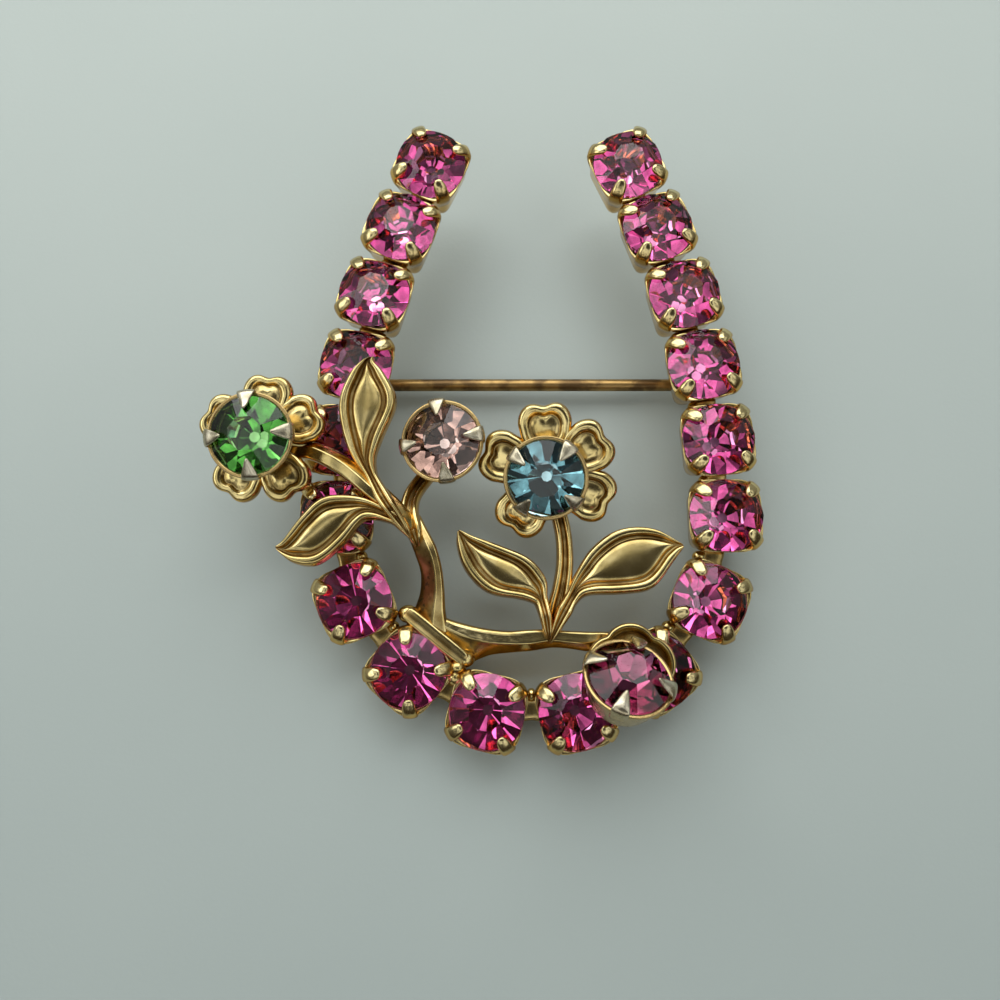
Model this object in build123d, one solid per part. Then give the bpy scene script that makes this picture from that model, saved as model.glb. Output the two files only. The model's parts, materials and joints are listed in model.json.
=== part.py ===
from build123d import *
import math
import os

# Horseshoe brooch: a row of box-set round stones soldered into a horseshoe, with a cast flower spray
# soldered inside it, four round flower stones, and a hinged pin stem with its catch behind.
# Millimetres. The model is drawn flat, X across, Y up towards the open end of the horseshoe, Z out of the
# face, z = 0 at the box settings' backs, origin at the centre of the horseshoe's bottom arc. At the end it
# is laid down on its back, the way it rests, with the origin below the middle of its box.

# Round stones, all of one size, in the row and in the flowers
stone_dia = 5.25
table_dia = 2.55
crown_h = 1.0
girdle_t = 0.14
pavilion_h = 2.0
culet_dia = 0.7

# Horseshoe line, at the stones' centres
shoe_r = 13.8
limb_bow_r = 62.0
stones_a_side = 9
cup_gap_limb = 0.57
cup_gap_arc = 1.15

# Box setting: a tapered square cup with four corner prongs
cup_over = 0.2
cup_draft = 0.85
cup_h = 2.4
cup_wall = 0.3
cup_floor = 0.4
cup_corner_r = 0.6
prong_w = 0.9
prong_t = 0.36
prong_reach = 0.75
seat_gap = 0.05

# Solder between the settings, and its lap wherever a cast piece is soldered to a wall
bridge_w = 1.9
bridge_low = 0.3
bridge_high = 1.7
knuckle_r = 0.42
solder_lap = 0.1

# Round cup setting of a flower stone, with four pointed prongs and a peg below
round_rim_dia = 5.95
round_base_dia = 4.3
round_wall = 0.26
round_floor = 0.35
round_seat_depth = 0.42
round_prong_w = 0.95
round_prong_reach = 1.1
round_prong_t = 0.24
peg_r = 0.45
peg_l = 0.5
peg_gap = 0.05

# Rosette of five two-lobed petals under a flower stone
rosette_r = 4.55
rosette_middle_r = 2.0
rosette_plate_t = 0.45
rosette_rim_h = 0.45
petal_w = 3.7
petal_rim_w = 0.5
part_gap = 0.05

# Cast spray: its level over the settings' backs, its foot pad, stems, discs and leaves
spray_z = 2.45
leaf_over_prong = 0.45
pad_w = 1.25
pad_len = 5.4
pad_h = 1.5
stem_flat = 0.85
disc_r = 1.25
disc_t = 0.85
leaf_t = 0.7
leaf_rim_w = 0.42
leaf_rim_h = 0.3
leaf_boss_h = 0.2

# Lobed bud cup under the pink stone, on its own short post
bud_r = 3.1
bud_t = 0.45
bud_rim_h = 0.35
bud_rim_w = 0.5
bud_lobes = 5
post_r = 0.75

# Pin stem, hinge and catch, on the backs of the fourth stones, a little below their middles
pin_stone = 4
pin_below = 0.15
stem_r = 0.47
stem_drop = 1.6
stem_past_catch = 1.6
pin_point_l = 3.0
pin_point_r = 0.1
eye_r = 0.9
rivet_r = 0.3
rivet_gap = 0.05
rivet_head_r = 0.55
rivet_head_t = 0.22
ear_t = 0.4
ear_gap = 0.06
ear_w = 1.9
hinge_plate_side = 3.5
hinge_plate_t = 0.45
hinge_skew = 25.0
catch_w = 1.6
catch_t = 0.45
catch_side_gap = 0.2
catch_lip_short = 0.2

# Heights and lines that follow from the sizes
stone_r = stone_dia / 2
cup_side = stone_dia - cup_over
cup_base_side = cup_side - cup_draft
cup_flare = math.degrees(math.atan((cup_side - cup_base_side) / 2 / cup_h))
pavilion_slope = pavilion_h / (stone_r - culet_dia / 2)
crown_slope = crown_h / (stone_r - table_dia / 2)
girdle_z = cup_h + (stone_r - cup_side / 2 + cup_wall) * pavilion_slope + girdle_t / 2 + seat_gap
table_z = girdle_z + girdle_t / 2 + crown_h
prong_top_z = girdle_z + girdle_t / 2 + prong_reach * crown_slope + prong_t + seat_gap
over_z = max(prong_top_z, table_z) + leaf_over_prong
limb_pitch = cup_side + cup_gap_limb
arc_pitch = cup_side + cup_gap_arc
quarter = shoe_r * math.pi / 2
round_depth = pavilion_h + girdle_t / 2 + seat_gap + round_floor
round_flare = math.degrees(math.atan((round_rim_dia - round_base_dia) / 2 / round_depth))
petal_stack = rosette_plate_t + part_gap


def row_place(count):
    """Centre and outward angle of the stone that is count steps from the bottom, on the right side"""
    run = arc_pitch / 2
    for step in range(count):
        run += arc_pitch if run + arc_pitch / 2 < quarter else limb_pitch
    if run <= quarter:
        turn = run / shoe_r
        return shoe_r * math.sin(turn), -shoe_r * math.cos(turn), math.degrees(turn) - 90
    turn = (run - quarter) / limb_bow_r
    return shoe_r - limb_bow_r * (1 - math.cos(turn)), limb_bow_r * math.sin(turn), math.degrees(turn)


def row_frames():
    """Name and frame of each stone of the row, from the top left round the bottom to the top right"""
    frames = []
    for count in reversed(range(stones_a_side)):
        x, y, angle = row_place(count)
        frames.append((f"l{stones_a_side - count}", Location((-x, y, 0), (0, 0, 180 - angle))))
    for count in range(stones_a_side):
        x, y, angle = row_place(count)
        frames.append((f"r{stones_a_side - count}", Location((x, y, 0), (0, 0, angle))))
    return frames


def cut_stone():
    """Round stone with a table, eight crown facets and eight pavilion facets, girdle at z = 0"""
    octagon = RegularPolygon(stone_r, 8, major_radius=False, rotation=22.5)
    crown_taper = math.degrees(math.atan(1 / crown_slope))
    pavilion_taper = math.degrees(math.atan(1 / pavilion_slope))
    girdle = extrude(octagon, girdle_t / 2, both=True)
    crown = Pos(0, 0, girdle_t / 2) * extrude(octagon, crown_h, taper=crown_taper)
    pavilion = Pos(0, 0, -girdle_t / 2) * extrude(octagon, -pavilion_h, taper=pavilion_taper)
    barrel = extrude(RegularPolygon(stone_r, 16), crown_h + pavilion_h, both=True)
    return (girdle + crown + pavilion) & barrel


def cup_hollow():
    """Room inside a box setting"""
    side = cup_base_side + 2 * cup_floor * math.tan(math.radians(cup_flare)) - 2 * cup_wall
    plan = RectangleRounded(side, side, cup_corner_r - cup_wall / 2)
    return Pos(0, 0, cup_floor) * extrude(plan, cup_h, taper=-cup_flare)


def box_setting():
    """Square tapered cup with a closed floor and four corner prongs bent over the stone's crown"""
    outer = extrude(RectangleRounded(cup_base_side, cup_base_side, cup_corner_r), cup_h, taper=-cup_flare)
    corner = (cup_side / 2 - cup_corner_r) * math.sqrt(2) + cup_corner_r
    foot = corner - 0.5 * prong_t - cup_h / 2 * math.tan(math.radians(cup_flare)) * math.sqrt(2)
    inner_edge = stone_r + 2 * seat_gap
    tip_u = stone_r - prong_reach
    shoulder_z = girdle_z + girdle_t / 2 + seat_gap
    tip_z = shoulder_z + prong_reach * crown_slope
    front = Polyline(
        (foot, cup_h / 2),
        (inner_edge, cup_h),
        (inner_edge, shoulder_z),
        (tip_u, tip_z),
        (tip_u + 0.3 * prong_t, tip_z + prong_t),
    )
    back = ThreePointArc(
        front @ 1,
        ((tip_u + corner) / 2 + 0.25 * prong_t, tip_z + 0.75 * prong_t),
        (corner + 0.15 * prong_t, shoulder_z - 0.1 * prong_t),
    )
    rear = Polyline(back @ 1, (foot + prong_t, cup_h / 2), front @ 0)
    prong = extrude(Plane.XZ * make_face([front, back, rear]), prong_w / 2, both=True)
    tongue = Pos(tip_u + prong_w / 2, 0) * Circle(prong_w / 2)
    tongue += Pos(tip_u + prong_w / 2, 0) * Rectangle(2 * corner, prong_w, align=(Align.MIN, Align.CENTER))
    prong &= extrude(tongue, 2 * prong_top_z)
    return (outer - cup_hollow()) + [Rot(0, 0, 45 + 90 * k) * prong for k in range(4)]


def row_room():
    """Room that a stone of the row and its cup's hollow keep free of solder and castings"""
    height = table_z + seat_gap - cup_h
    return cup_hollow() + Pos(0, 0, cup_h) * extrude(Circle(stone_r + seat_gap), height)


def bridge(a, b, inward):
    """Solder between two neighbouring cups, with a knuckle at its inner end"""
    length = (b - a).length - cup_base_side - 0.6 * (cup_side - cup_base_side) + 1.2 * cup_wall
    middle = (a + b) / 2
    along = math.degrees(math.atan2(b.Y - a.Y, b.X - a.X))
    block = extrude(RectangleRounded(length, bridge_w, 0.1 * bridge_w), bridge_high - bridge_low)
    side = middle + inward * (bridge_w / 2 + 0.2 * knuckle_r)
    return [
        Pos(middle.X, middle.Y, bridge_low) * Rot(0, 0, along) * block,
        Pos(side.X, side.Y, bridge_high) * Rot(0, 0, along - 90) * Rot(0, 30, 0) * Sphere(knuckle_r),
    ]


def row_solder():
    """Solder bridges and knuckles round the whole row"""
    spots = [frame.position for name, frame in row_frames()]
    solids = []
    for a, b in zip(spots, spots[1:]):
        chord = (b - a).normalized()
        solids += bridge(a, b, Vector(-chord.Y, chord.X, 0))
    return solids


# Flowers, from the cast discs that carry them: disc centres as shares of the horseshoe's radius, the
# disc's top as a share of the spray's level or of the level over the row, lean in degrees towards a
# compass angle, the petals' compass angles and their share of the rosette's size, and the prongs' turn
flowers = {
    "green": {"across": -1.361, "up": 0.377, "level": "row", "rise": 0.95, "lean": 6.5, "towards": -111.0,
              "petals": (84.0, 27.0, -58.0, -122.0, 152.0), "spread": 0.91, "prongs": 4.0},
    "rose": {"across": -0.432, "up": 0.377, "level": "spray", "rise": 0.84, "lean": 7.0, "towards": 200.0,
             "petals": (), "spread": 1.0, "prongs": 8.0},
    "blue": {"across": 0.093, "up": 0.236, "level": "spray", "rise": 1.04, "lean": 20.0, "towards": -110.0,
             "petals": (93.0, 33.0, -27.0, -124.0, 160.0), "spread": 1.0, "prongs": 52.0},
    "pink": {"across": 0.404, "up": -0.899, "level": "row", "rise": 1.28, "lean": 38.0, "towards": 76.0,
             "petals": (), "spread": 1.0, "prongs": -22.0},
}

# Levels that the spray's tables give their heights in
levels = {"spray": spray_z, "row": over_z}


def disc_frame(row):
    """Frame at the top of the cast disc that carries a flower"""
    place = Pos(row["across"] * shoe_r, row["up"] * shoe_r, row["rise"] * levels[row["level"]])
    return place * Rot(0, 0, row["towards"]) * Rot(0, row["lean"], 0) * Rot(0, 0, -row["towards"])


def stone_frame(row):
    """Frame at the centre of a flower stone's girdle"""
    stack = petal_stack if row["petals"] else 0
    return disc_frame(row) * Pos(0, 0, part_gap + stack + round_depth)


def round_body(grown):
    """Outer cone of a round setting, grown by a gap, the girdle at z = 0"""
    return Pos(0, 0, -round_depth - grown) * extrude(
        Circle(round_base_dia / 2 + grown), round_depth + grown, taper=-round_flare)


def round_prong():
    """Pointed prong of a round setting, along X"""
    rim = round_rim_dia / 2
    inner_edge = stone_r + seat_gap
    tip_u = stone_r - round_prong_reach
    low = girdle_t / 2 + seat_gap
    rise = round_prong_reach * crown_slope
    side = make_face(Polyline(
        (rim - 0.8 * round_wall, -0.35 * round_depth),
        (rim + 0.2 * round_prong_t, low),
        (inner_edge, low + 1.6 * round_prong_t),
        (tip_u, low + rise + round_prong_t),
        (tip_u, low + rise),
        (inner_edge, low),
        (inner_edge, 0),
        (rim - 1.6 * round_wall, -0.35 * round_depth),
        close=True,
    ))
    half = round_prong_w / 2
    plan = make_face(Polyline(
        (rim + round_prong_t, half),
        (inner_edge - round_prong_t, half),
        (tip_u, 0.25 * half),
        (tip_u, -0.25 * half),
        (inner_edge - round_prong_t, -half),
        (rim + round_prong_t, -half),
        close=True,
    ))
    return extrude(Plane.XZ * side, half, both=True) & extrude(plan, round_depth, both=True)


def round_setting(row):
    """Round cup with a thin rim, four pointed prongs and a peg below, its stone's girdle at z = 0"""
    hollow = Pos(0, 0, round_floor - round_depth) * extrude(
        Circle(round_base_dia / 2 - round_wall), round_depth, taper=-round_flare)
    stone_room = Pos(0, 0, -round_seat_depth) * extrude(Circle(stone_r + seat_gap), round_depth)
    cup = round_body(0) - hollow - stone_room
    stack = petal_stack if row["petals"] else 0
    peg_top = round_floor / 2 - round_depth
    peg_bottom = -round_depth - stack - part_gap - peg_l
    peg = Pos(0, 0, peg_bottom) * extrude(Circle(peg_r), peg_top - peg_bottom)
    return cup + [Rot(0, 0, row["prongs"] + 90 * k) * round_prong() for k in range(4)] + peg


def petal_plan(inset, spread):
    """Heart-shaped outline of one petal pointing along X, drawn in by inset"""
    wide = petal_w * spread
    lobe = 0.29 * wide
    lobe_at = rosette_r * spread - lobe
    lobes = [Pos(lobe_at, side * (wide / 2 - lobe)) * Circle(lobe - inset) for side in (-1, 1)]
    start = 0.6 * rosette_middle_r + 2 * inset
    root = 0.3 * wide - 0.8 * inset
    edge = wide / 2 - inset
    web = make_face(Polyline(
        (start, -root), (lobe_at, -edge), (lobe_at + 0.35 * lobe, 0), (lobe_at, edge), (start, root),
        close=True))
    return web + lobes


def rosette(row):
    """Petals with raised rims round a middle disc with the peg's hole, its underside at z = 0"""
    petal = extrude(petal_plan(0, row["spread"]), rosette_plate_t + rosette_rim_h)
    petal -= Pos(0, 0, rosette_plate_t) * extrude(petal_plan(petal_rim_w, row["spread"]), 2 * rosette_rim_h)
    flower = extrude(Circle(rosette_middle_r), rosette_plate_t)
    flower += [Rot(0, 0, angle) * petal for angle in row["petals"]]
    flower -= Pos(0, 0, petal_stack + round_depth) * round_body(part_gap)
    return flower - extrude(Circle(peg_r + peg_gap), 2 * rosette_plate_t, both=True)


def flower_room(row):
    """Room over the disc that a flower's setting and petals keep free of castings"""
    room = Pos(0, 0, part_gap + round_depth) * round_body(part_gap)
    if row["petals"]:
        room = Pos(0, 0, petal_stack) * room
        high = rosette_plate_t + rosette_rim_h + 2 * part_gap
        room += extrude(Circle(rosette_middle_r + part_gap), high)
        petal = extrude(petal_plan(-part_gap, row["spread"]), high)
        room += [Rot(0, 0, angle) * petal for angle in row["petals"]]
    return disc_frame(row) * room


# Stems of the cast spray, from root to end: shares across and up of the horseshoe's radius, the level
# that the height is a share of, that share, and the width as a share of the horseshoe's radius
stems = {
    "trunk": [(-0.550, -0.560, "spray", 1.05, 0.125), (-0.520, -0.400, "spray", 1.25, 0.105),
              (-0.522, -0.270, "spray", 1.45, 0.095), (-0.570, -0.140, "row", 0.92, 0.095),
              (-0.650, -0.010, "row", 1.08, 0.090)],
    "upper_leaf_stem": [(-0.600, -0.080, "row", 1.02, 0.080), (-0.710, 0.040, "row", 1.12, 0.080),
                        (-0.780, 0.120, "row", 1.10, 0.080), (-0.806, 0.210, "row", 1.08, 0.080)],
    "lower_leaf_stem": [(-0.560, -0.150, "row", 0.95, 0.080), (-0.640, -0.020, "row", 1.08, 0.080),
                        (-0.760, 0.000, "row", 1.08, 0.075)],
    "green_stem": [(-0.650, -0.010, "row", 1.08, 0.085), (-0.800, 0.120, "row", 1.12, 0.085),
                   (-0.960, 0.245, "row", 1.12, 0.085), (-1.100, 0.315, "row", 1.03, 0.078),
                   (-1.190, 0.340, "row", 0.88, 0.075), (-1.335, 0.375, "row", 0.78, 0.080)],
    "rose_stem": [(-0.600, -0.100, "spray", 1.55, 0.085), (-0.625, 0.050, "spray", 1.35, 0.080),
                  (-0.575, 0.170, "spray", 1.00, 0.080), (-0.470, 0.330, "spray", 0.70, 0.085)],
    "arm": [(-0.470, -0.600, "spray", 0.95, 0.135), (-0.332, -0.620, "spray", 0.97, 0.125),
            (-0.200, -0.627, "spray", 0.97, 0.102), (-0.068, -0.616, "spray", 0.97, 0.088),
            (0.064, -0.606, "spray", 0.97, 0.090), (0.200, -0.617, "spray", 0.97, 0.082),
            (0.350, -0.630, "spray", 0.95, 0.080), (0.440, -0.635, "spray", 0.85, 0.085),
            (0.535, -0.660, "spray", 0.60, 0.095)],
    "blue_stem": [(0.088, -0.610, "spray", 1.02, 0.110), (0.112, -0.500, "spray", 1.15, 0.090),
                  (0.146, -0.380, "spray", 1.15, 0.080), (0.174, -0.220, "spray", 1.08, 0.075),
                  (0.166, -0.050, "spray", 0.92, 0.075), (0.110, 0.160, "spray", 0.85, 0.080)],
    "left_leaf_stem": [(0.088, -0.610, "spray", 1.05, 0.090), (0.080, -0.540, "spray", 1.18, 0.080),
                       (0.040, -0.430, "spray", 1.25, 0.075)],
    "right_leaf_stem": [(0.088, -0.610, "spray", 1.05, 0.090), (0.128, -0.520, "spray", 1.18, 0.080),
                        (0.215, -0.415, "spray", 1.25, 0.075)],
}

# Leaves: the neck's place as shares of the horseshoe's radius, the level and share of their underside,
# the compass angle that they point to, their length as a share of the horseshoe's radius, and, as
# shares of the length, the neck's width and the points of their left and right edge: along, outwards
leaves = {
    "upper_leaf": {"across": -0.772, "up": 0.117, "level": "row", "rise": 1.0, "points": 93.2,
                   "length": 0.681, "neck": 0.09, "roll": 0.0, "pitch": 0.0,
                   "left": [(0.20, 0.155), (0.42, 0.245), (0.68, 0.268), (0.88, 0.185)],
                   "right": [(0.22, 0.005), (0.42, -0.070), (0.66, -0.170), (0.87, -0.090)]},
    "lower_leaf": {"across": -0.709, "up": 0.003, "level": "row", "rise": 1.0, "points": 198.2,
                   "length": 0.581, "neck": 0.12, "roll": 0.0, "pitch": 0.0,
                   "left": [(0.20, 0.000), (0.45, 0.150), (0.71, 0.250), (0.91, 0.165)],
                   "right": [(0.20, -0.215), (0.49, -0.310), (0.71, -0.215), (0.90, -0.075)]},
    "left_leaf": {"across": 0.062, "up": -0.470, "level": "spray", "rise": 1.08, "points": 138.4,
                  "length": 0.585, "neck": 0.12, "roll": 5.0, "pitch": 0.0,
                  "left": [(0.16, 0.115), (0.45, 0.245), (0.72, 0.220), (0.92, 0.110)],
                  "right": [(0.14, -0.200), (0.37, -0.246), (0.62, -0.165), (0.85, -0.070)]},
    "right_leaf": {"across": 0.180, "up": -0.444, "level": "spray", "rise": 1.08, "points": 25.5,
                   "length": 0.655, "neck": 0.12, "roll": -4.0, "pitch": -3.0,
                   "left": [(0.16, 0.180), (0.37, 0.305), (0.62, 0.340), (0.86, 0.230)],
                   "right": [(0.16, -0.020), (0.40, -0.120), (0.64, -0.190), (0.86, -0.090)]},
}


def stem(rows):
    """Cast stem lofted through oval sections across its path"""
    spots = [Vector(across * shoe_r, up * shoe_r, rise * levels[level])
             for across, up, level, rise, wide in rows]
    sections = []
    for k, spot in enumerate(spots):
        ahead = spots[min(k + 1, len(spots) - 1)] - spots[max(k - 1, 0)]
        half = rows[k][4] * shoe_r / 2
        plane = Plane(spot, x_dir=ahead.cross(Vector(0, 0, 1)), z_dir=ahead)
        sections.append(plane * Ellipse(half, stem_flat * half))
    return loft(sections)


def leaf_plan(row, inset):
    """Pointed leaf outline along X; drawn in by inset it begins past the neck, otherwise at its end"""
    length = row["length"] * shoe_r
    belly = length * max(out for along, out in row["left"])
    shrunk = 1 - inset / belly
    middle = 0.6 * length
    left = [(middle + (along * length - middle) * shrunk, out * length * shrunk) for along, out in row["left"]]
    right = [(middle + (along * length - middle) * shrunk, out * length * shrunk) for along, out in row["right"]]
    tip = (length - 2.2 * inset, 0)
    if inset:
        root = ((left[0][0] + right[0][0]) / 2 + inset, (left[0][1] + right[0][1]) / 2)
        return make_face([Spline(root, *left[1:], tip), Spline(tip, *right[:0:-1], root)])
    neck = row["neck"] * length / 2
    upper = Spline((0, neck), *left, tip)
    lower = Spline(tip, *right[::-1], (0, -neck))
    return make_face([upper, lower, Line(lower @ 1, upper @ 0)])


def leaf(row):
    """Cast leaf: flat body, raised rim, sunk field and a raised inner leaf"""
    body = extrude(leaf_plan(row, 0), leaf_t + leaf_rim_h)
    body -= Pos(0, 0, leaf_t) * extrude(leaf_plan(row, leaf_rim_w), 2 * leaf_rim_h)
    body += Pos(0, 0, leaf_t / 2) * extrude(leaf_plan(row, 2 * leaf_rim_w), leaf_t / 2 + leaf_boss_h)
    place = Pos(row["across"] * shoe_r, row["up"] * shoe_r, row["rise"] * levels[row["level"]])
    return place * Rot(0, 0, row["points"]) * Rot(row["roll"], row["pitch"], 0) * body


# Bud cup: the place of its middle and of the short riser from the arm, as shares of the horseshoe's radius
bud_place = (0.478, -0.765)
riser_place = (0.435, -0.615)


def bud_plan(inset):
    """Lobed outline of the bud cup, drawn in by inset"""
    lobe = 0.54 * bud_r
    ring = [Rot(0, 0, 90 + 360 * k / bud_lobes) * Pos(bud_r - lobe, 0) * Circle(lobe - inset)
            for k in range(bud_lobes)]
    return Circle(bud_r - lobe) + ring


def bud_cup():
    """Shallow lobed dish under the pink stone, its riser from the arm and the post of the stone's disc"""
    low = over_z - bud_t
    dish = extrude(bud_plan(0), bud_t + bud_rim_h)
    dish -= Pos(0, 0, bud_t) * extrude(bud_plan(bud_rim_w), 2 * bud_rim_h)
    riser = Pos(riser_place[0] * shoe_r, riser_place[1] * shoe_r, spray_z - pad_h / 3) * extrude(
        Circle(post_r), low + bud_t / 2 - spray_z + pad_h / 3)
    under_disc = (disc_frame(flowers["pink"]) * Pos(0, 0, -disc_t)).position
    post = Pos(under_disc.X, under_disc.Y, low) * extrude(Circle(post_r), under_disc.Z - low)
    return [Pos(bud_place[0] * shoe_r, bud_place[1] * shoe_r, low) * dish, riser, post]


def spray():
    """Solids of the cast spray: foot pad along the eighth cup, stems, leaves, discs and the bud cup"""
    x, y, angle = row_place(1)
    pad_at = math.hypot(x, y) - cup_side / 2 - pad_w / 2 + solder_lap
    pad = extrude(RectangleRounded(pad_w, pad_len, 0.25 * pad_w), pad_h)
    disc = Pos(0, 0, -disc_t) * extrude(Circle(disc_r), disc_t)
    solids = [Rot(0, 0, 180 - angle) * Pos(pad_at, 0, spray_z - pad_h / 2) * pad]
    solids += [stem(rows) for rows in stems.values()]
    solids += [leaf(row) for row in leaves.values()]
    solids += [disc_frame(row) * disc for row in flowers.values()]
    return solids + bud_cup()


# The pin stem lies level across the horseshoe, behind the same stone of each limb. Its hinge is skewed,
# so that its point swings out of the catch sideways.
pin_x, cup_y = row_place(stones_a_side - pin_stone)[:2]
pin_y = cup_y - pin_below
hinge_x = stem_r / 2 - pin_x
eye_l = 2 * stem_r
ear_at = eye_l / 2 + ear_gap
hinge_frame = Pos(hinge_x, pin_y, -stem_drop) * Rot(hinge_skew, 0, 0)
skew = math.radians(hinge_skew)
back_z = -stem_drop - (ear_at + ear_t) * math.sin(skew) - ear_w / 2 * math.cos(skew)


def hinge_rod(radius, length):
    """Cylinder along the hinge's axis, centred on the pin stem's eye"""
    return hinge_frame * Rot(90, 0, 0) * Cylinder(radius, length)


def hinge_bracket():
    """Two ears and their plate, soldered on the back of a cup and drilled for the rivet"""
    ear = Box(ear_w, ear_t, 3 * stem_drop, align=(Align.CENTER, Align.CENTER, Align.MIN))
    ear += Rot(90, 0, 0) * Cylinder(ear_w / 2, ear_t)
    ears = [hinge_frame * Pos(0, side * (ear_at + ear_t / 2), 0) * ear for side in (-1, 1)]
    below = Pos(hinge_x, pin_y, cup_floor / 2) * Box(
        3 * cup_side, 3 * cup_side, 6 * stem_drop, align=(Align.CENTER, Align.CENTER, Align.MAX))
    plate = Pos(hinge_x, pin_y, -hinge_plate_t) * extrude(
        RectangleRounded(hinge_plate_side, hinge_plate_side, 0.4 * ear_t), hinge_plate_t + solder_lap)
    plate -= hinge_rod(eye_r + 2 * ear_gap, eye_l + 2 * ear_gap)
    hole = hinge_rod(rivet_r + rivet_gap / 2, 4 * eye_l)
    return [plate] + [(ear & below) - hole for ear in ears]


def catch():
    """Bent strip on the back of the opposite cup, open on the side where the pin stem swings out"""
    low = back_z + catch_t / 2
    spine = -stem_r - catch_side_gap - catch_t / 2
    line = FilletPolyline(
        (cup_base_side / 3, -catch_t / 2 + solder_lap),
        (spine, -catch_t / 2 + solder_lap),
        (spine, low),
        (-catch_lip_short, low),
        radius=1.1 * catch_t,
    )
    strip = extrude(Plane.YZ * trace(line, catch_t), catch_w / 2, both=True)
    return Pos(pin_x - stem_r / 2, pin_y, 0) * strip


def pin_stem():
    """Pin stem: drilled eye, straight wire and a long point"""
    point_x = pin_x + stem_past_catch
    wire_l = point_x - pin_point_l - hinge_x
    wire = Pos(hinge_x, pin_y, -stem_drop) * Rot(0, 90, 0) * Cylinder(
        stem_r, wire_l, align=(Align.CENTER, Align.CENTER, Align.MIN))
    point = Pos(point_x - pin_point_l, pin_y, -stem_drop) * Rot(0, 90, 0) * Cone(
        stem_r, pin_point_r, pin_point_l, align=(Align.CENTER, Align.CENTER, Align.MIN))
    return hinge_rod(eye_r, eye_l) + wire + point - hinge_rod(rivet_r + rivet_gap, 2 * eye_l)


def joint_rivet():
    """Rivet through both ears, with a head outside each"""
    head_at = ear_at + ear_t + rivet_gap / 2
    rivet = Cylinder(rivet_r, 2 * head_at + rivet_head_t)
    rivet += [Pos(0, 0, side * (head_at + rivet_head_t / 2)) * Cylinder(rivet_head_r, rivet_head_t)
              for side in (-1, 1)]
    return hinge_frame * Rot(90, 0, 0) * rivet


def soldered_frame():
    """All the soldered metal as one solid"""
    castings = row_solder() + spray() + hinge_bracket() + [catch()]
    metal = castings[0] + castings[1:]
    frames = [frame for name, frame in row_frames()]
    room = row_room()
    metal -= [frame * room for frame in frames] + [flower_room(row) for row in flowers.values()]
    cup = box_setting()
    metal += [frame * cup for frame in frames]
    hole = Pos(0, 0, -peg_l - peg_gap) * extrude(Circle(peg_r + peg_gap), 2 * disc_t)
    return metal - [disc_frame(row) * hole for row in flowers.values()]


# All the nodes, flat
stone = cut_stone()
nodes = {"horseshoe_frame": soldered_frame(), "pin_stem": pin_stem(), "joint_rivet": joint_rivet()}
for name, frame in row_frames():
    nodes[f"row_stone_{name}"] = frame * Pos(0, 0, girdle_z) * stone
for name, row in flowers.items():
    nodes[f"{name}_setting"] = stone_frame(row) * round_setting(row)
    nodes[f"{name}_stone"] = stone_frame(row) * Rot(0, 0, row["prongs"]) * stone
    if row["petals"]:
        nodes[f"{name}_flower_petals"] = disc_frame(row) * Pos(0, 0, part_gap) * rosette(row)

# Laid down: the open end is raised until the bottom cups and the hinge's ears stand on one plane
foot = row_frames()[stones_a_side - 1][1] * extrude(Rectangle(cup_base_side, cup_base_side), cup_h)
heel = hinge_bracket()[1]
raised = math.degrees(math.atan2(-back_z, pin_y + shoe_r + cup_base_side / 2))
for step in range(4):
    gap = (Rot(raised, 0, 0) * heel).bounding_box().min.Z - (Rot(raised, 0, 0) * foot).bounding_box().min.Z
    raised -= math.degrees(gap / (pin_y + shoe_r + cup_base_side / 2))
boxes = [(Rot(raised, 0, 0) * solid).bounding_box() for solid in nodes.values()]
low_x = min(box.min.X for box in boxes)
high_x = max(box.max.X for box in boxes)
low_y = min(box.min.Y for box in boxes)
high_y = max(box.max.Y for box in boxes)
low_z = min(box.min.Z for box in boxes)
lay = Pos(-(low_x + high_x) / 2, -(low_y + high_y) / 2, -low_z) * Rot(raised, 0, 0)

os.makedirs("parts", exist_ok=True)
for name, solid in nodes.items():
    export_step(lay * solid, f"parts/{name}.step")
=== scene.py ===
import json
import math
import random

import bmesh
import bpy
from mathutils import Matrix, Vector


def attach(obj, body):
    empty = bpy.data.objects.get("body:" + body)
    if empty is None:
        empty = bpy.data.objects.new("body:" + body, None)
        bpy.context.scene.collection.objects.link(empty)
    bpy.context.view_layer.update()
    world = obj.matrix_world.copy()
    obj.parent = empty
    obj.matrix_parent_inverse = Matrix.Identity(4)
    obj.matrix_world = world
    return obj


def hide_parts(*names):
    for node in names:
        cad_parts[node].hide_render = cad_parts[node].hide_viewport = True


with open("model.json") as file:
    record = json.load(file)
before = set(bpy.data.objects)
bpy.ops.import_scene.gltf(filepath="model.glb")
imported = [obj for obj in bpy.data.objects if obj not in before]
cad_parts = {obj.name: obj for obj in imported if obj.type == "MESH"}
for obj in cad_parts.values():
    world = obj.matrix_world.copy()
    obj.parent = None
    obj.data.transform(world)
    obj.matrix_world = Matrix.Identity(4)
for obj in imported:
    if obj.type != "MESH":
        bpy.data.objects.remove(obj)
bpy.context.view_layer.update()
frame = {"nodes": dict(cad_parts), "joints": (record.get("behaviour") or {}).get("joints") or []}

# The brooch lies face up on its bottom cups and its hinge, so its open end is raised a little. Every size
# below is in millimetres on the brooch laid flat: X across, Y up towards the open end, Z out of the face,
# from the middle of the horseshoe's bottom arc. The hinge in the frame says how that lies.
mm = 0.001
shoe_r = 13.8
hinge_at = Vector((-12.545, 11.051, -1.6))
hinge_skew = math.radians(25)
hinge = frame["joints"][0]
raised = math.atan2(hinge["axis"][2], hinge["axis"][1]) - hinge_skew
turn = Matrix.Rotation(raised, 4, "X")
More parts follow.
